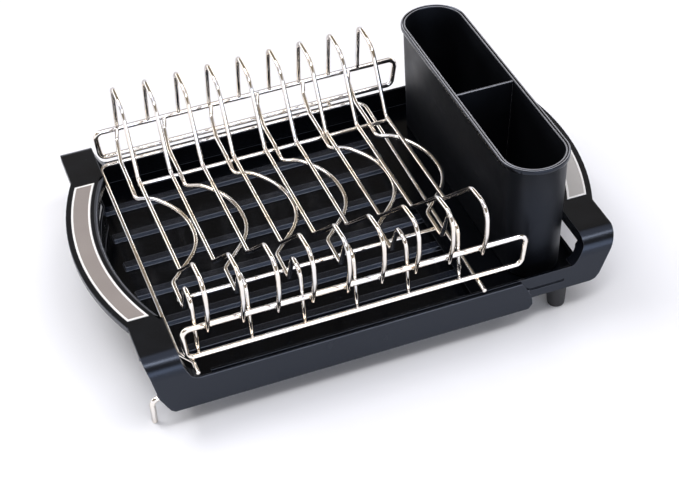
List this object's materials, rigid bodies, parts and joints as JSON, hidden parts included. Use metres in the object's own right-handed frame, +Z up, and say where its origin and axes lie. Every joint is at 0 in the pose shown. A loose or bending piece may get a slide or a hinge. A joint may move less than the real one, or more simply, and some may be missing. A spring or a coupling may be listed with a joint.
{
  "type": "expandable dish drying rack",
  "caption": "Chrome wire dish rack on a nesting two-part drip tray with bowed handles, tapered feet and a divided utensil cup.",
  "frame": {"origin": "on the counter, under the middle of the whole object with the extension where it is at rest", "axes": "+X to the extension and the utensil cup, +Y from the front wall to the back wall, +Z up"},
  "size_m": [0.4943, 0.3451, 0.1594],
  "materials": {
    "black_plastic": "satin, fine-grained moulded plastic",
    "taupe_grip": "matte taupe inlay with a paler edge",
    "grey_grip": "matte warm grey inlay with a paler edge",
    "chrome_wire": "bright chrome plate",
    "black_rubber": "soft matte black"
  },
  "bodies": {
    "tray": {"main_tray": "black_plastic", "left_handle_inlay": "taupe_grip", "front_left_wire_foot": "chrome_wire", "back_left_wire_foot": "chrome_wire", "main_front_foot": "black_rubber", "main_back_foot": "black_rubber"},
    "extension": {"extension_tray": "black_plastic", "right_handle_inlay": "grey_grip", "extension_front_foot": "black_rubber", "extension_back_foot": "black_rubber"},
    "cup": {"cup_body": "black_plastic", "cup_divider": "black_plastic"},
    "rack": {"front_rail": "chrome_wire", "back_rail": "chrome_wire", "base_loop": "chrome_wire", "back_rests": "chrome_wire", "back_cross_bar": "chrome_wire", "front_cross_bar": "chrome_wire", "plate_arch_1": "chrome_wire", "plate_arch_2": "chrome_wire", "plate_arch_3": "chrome_wire", "plate_arch_4": "chrome_wire", "plate_arch_5": "chrome_wire", "plate_arch_6": "chrome_wire", "plate_arch_7": "chrome_wire", "plate_arch_8": "chrome_wire", "plate_arch_9": "chrome_wire", "bowl_wave_1": "chrome_wire", "bowl_wave_2": "chrome_wire", "bowl_wave_3": "chrome_wire", "bowl_wave_4": "chrome_wire", "bowl_wave_5": "chrome_wire", "bowl_wave_6": "chrome_wire"}
  },
  "joints": [
    {"name": "extension_slide", "type": "slide", "parent": "tray", "child": "extension", "axis": [1, 0, 0], "range_m": [-0.01, 0.04]},
    {"name": "cup_lift", "type": "slide", "parent": "extension", "child": "cup", "axis": [0, 0, 1], "range_m": [0, 0.13]},
    {"name": "rack_lift", "type": "slide", "parent": "tray", "child": "rack", "axis": [0, 0, 1], "range_m": [0, 0.12]}
  ]
}
